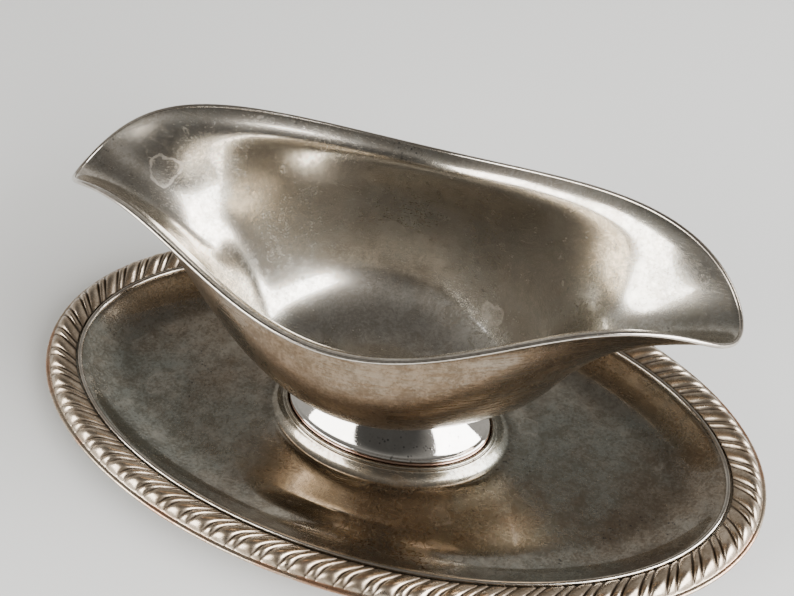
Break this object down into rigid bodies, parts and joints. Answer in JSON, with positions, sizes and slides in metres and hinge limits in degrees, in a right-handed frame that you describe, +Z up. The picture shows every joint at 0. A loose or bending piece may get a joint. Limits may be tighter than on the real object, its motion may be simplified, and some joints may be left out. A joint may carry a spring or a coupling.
{
  "type": "sauce boat",
  "caption": "Double-lipped oval sauce boat on a pedestal foot, fixed to an oval tray with a gadroon border.",
  "frame": {"origin": "on the table under the middle of the tray", "axes": "+X along the boat from lip to lip, +Y across it, +Z up"},
  "size_m": [0.229, 0.133, 0.0886],
  "materials": {
    "tray_silver": "old silver plate, tarnished brown and blue-grey in the well, semi-gloss",
    "border_silver": "old silver plate, dark tarnish in the grooves, polished ridges with copper showing through",
    "foot_silver": "old silver plate, polished",
    "worn_copper": "silver plate worn through to pinkish copper",
    "bowl_silver": "old silver plate with brown tarnish, water marks and fine scratches",
    "rim_silver": "polished silver wire, worn warm along its top",
    "brass": "dull brass"
  },
  "bodies": {
    "root": {"tray": "tray_silver", "gadroon_border": "border_silver", "border_bead": "border_silver", "foot": "foot_silver", "foot_wire": "worn_copper", "bowl": "bowl_silver", "rim_wire": "rim_silver", "bridge_plate": "brass", "stud": "brass", "washer": "brass", "nut": "brass"}
  },
  "joints": []
}
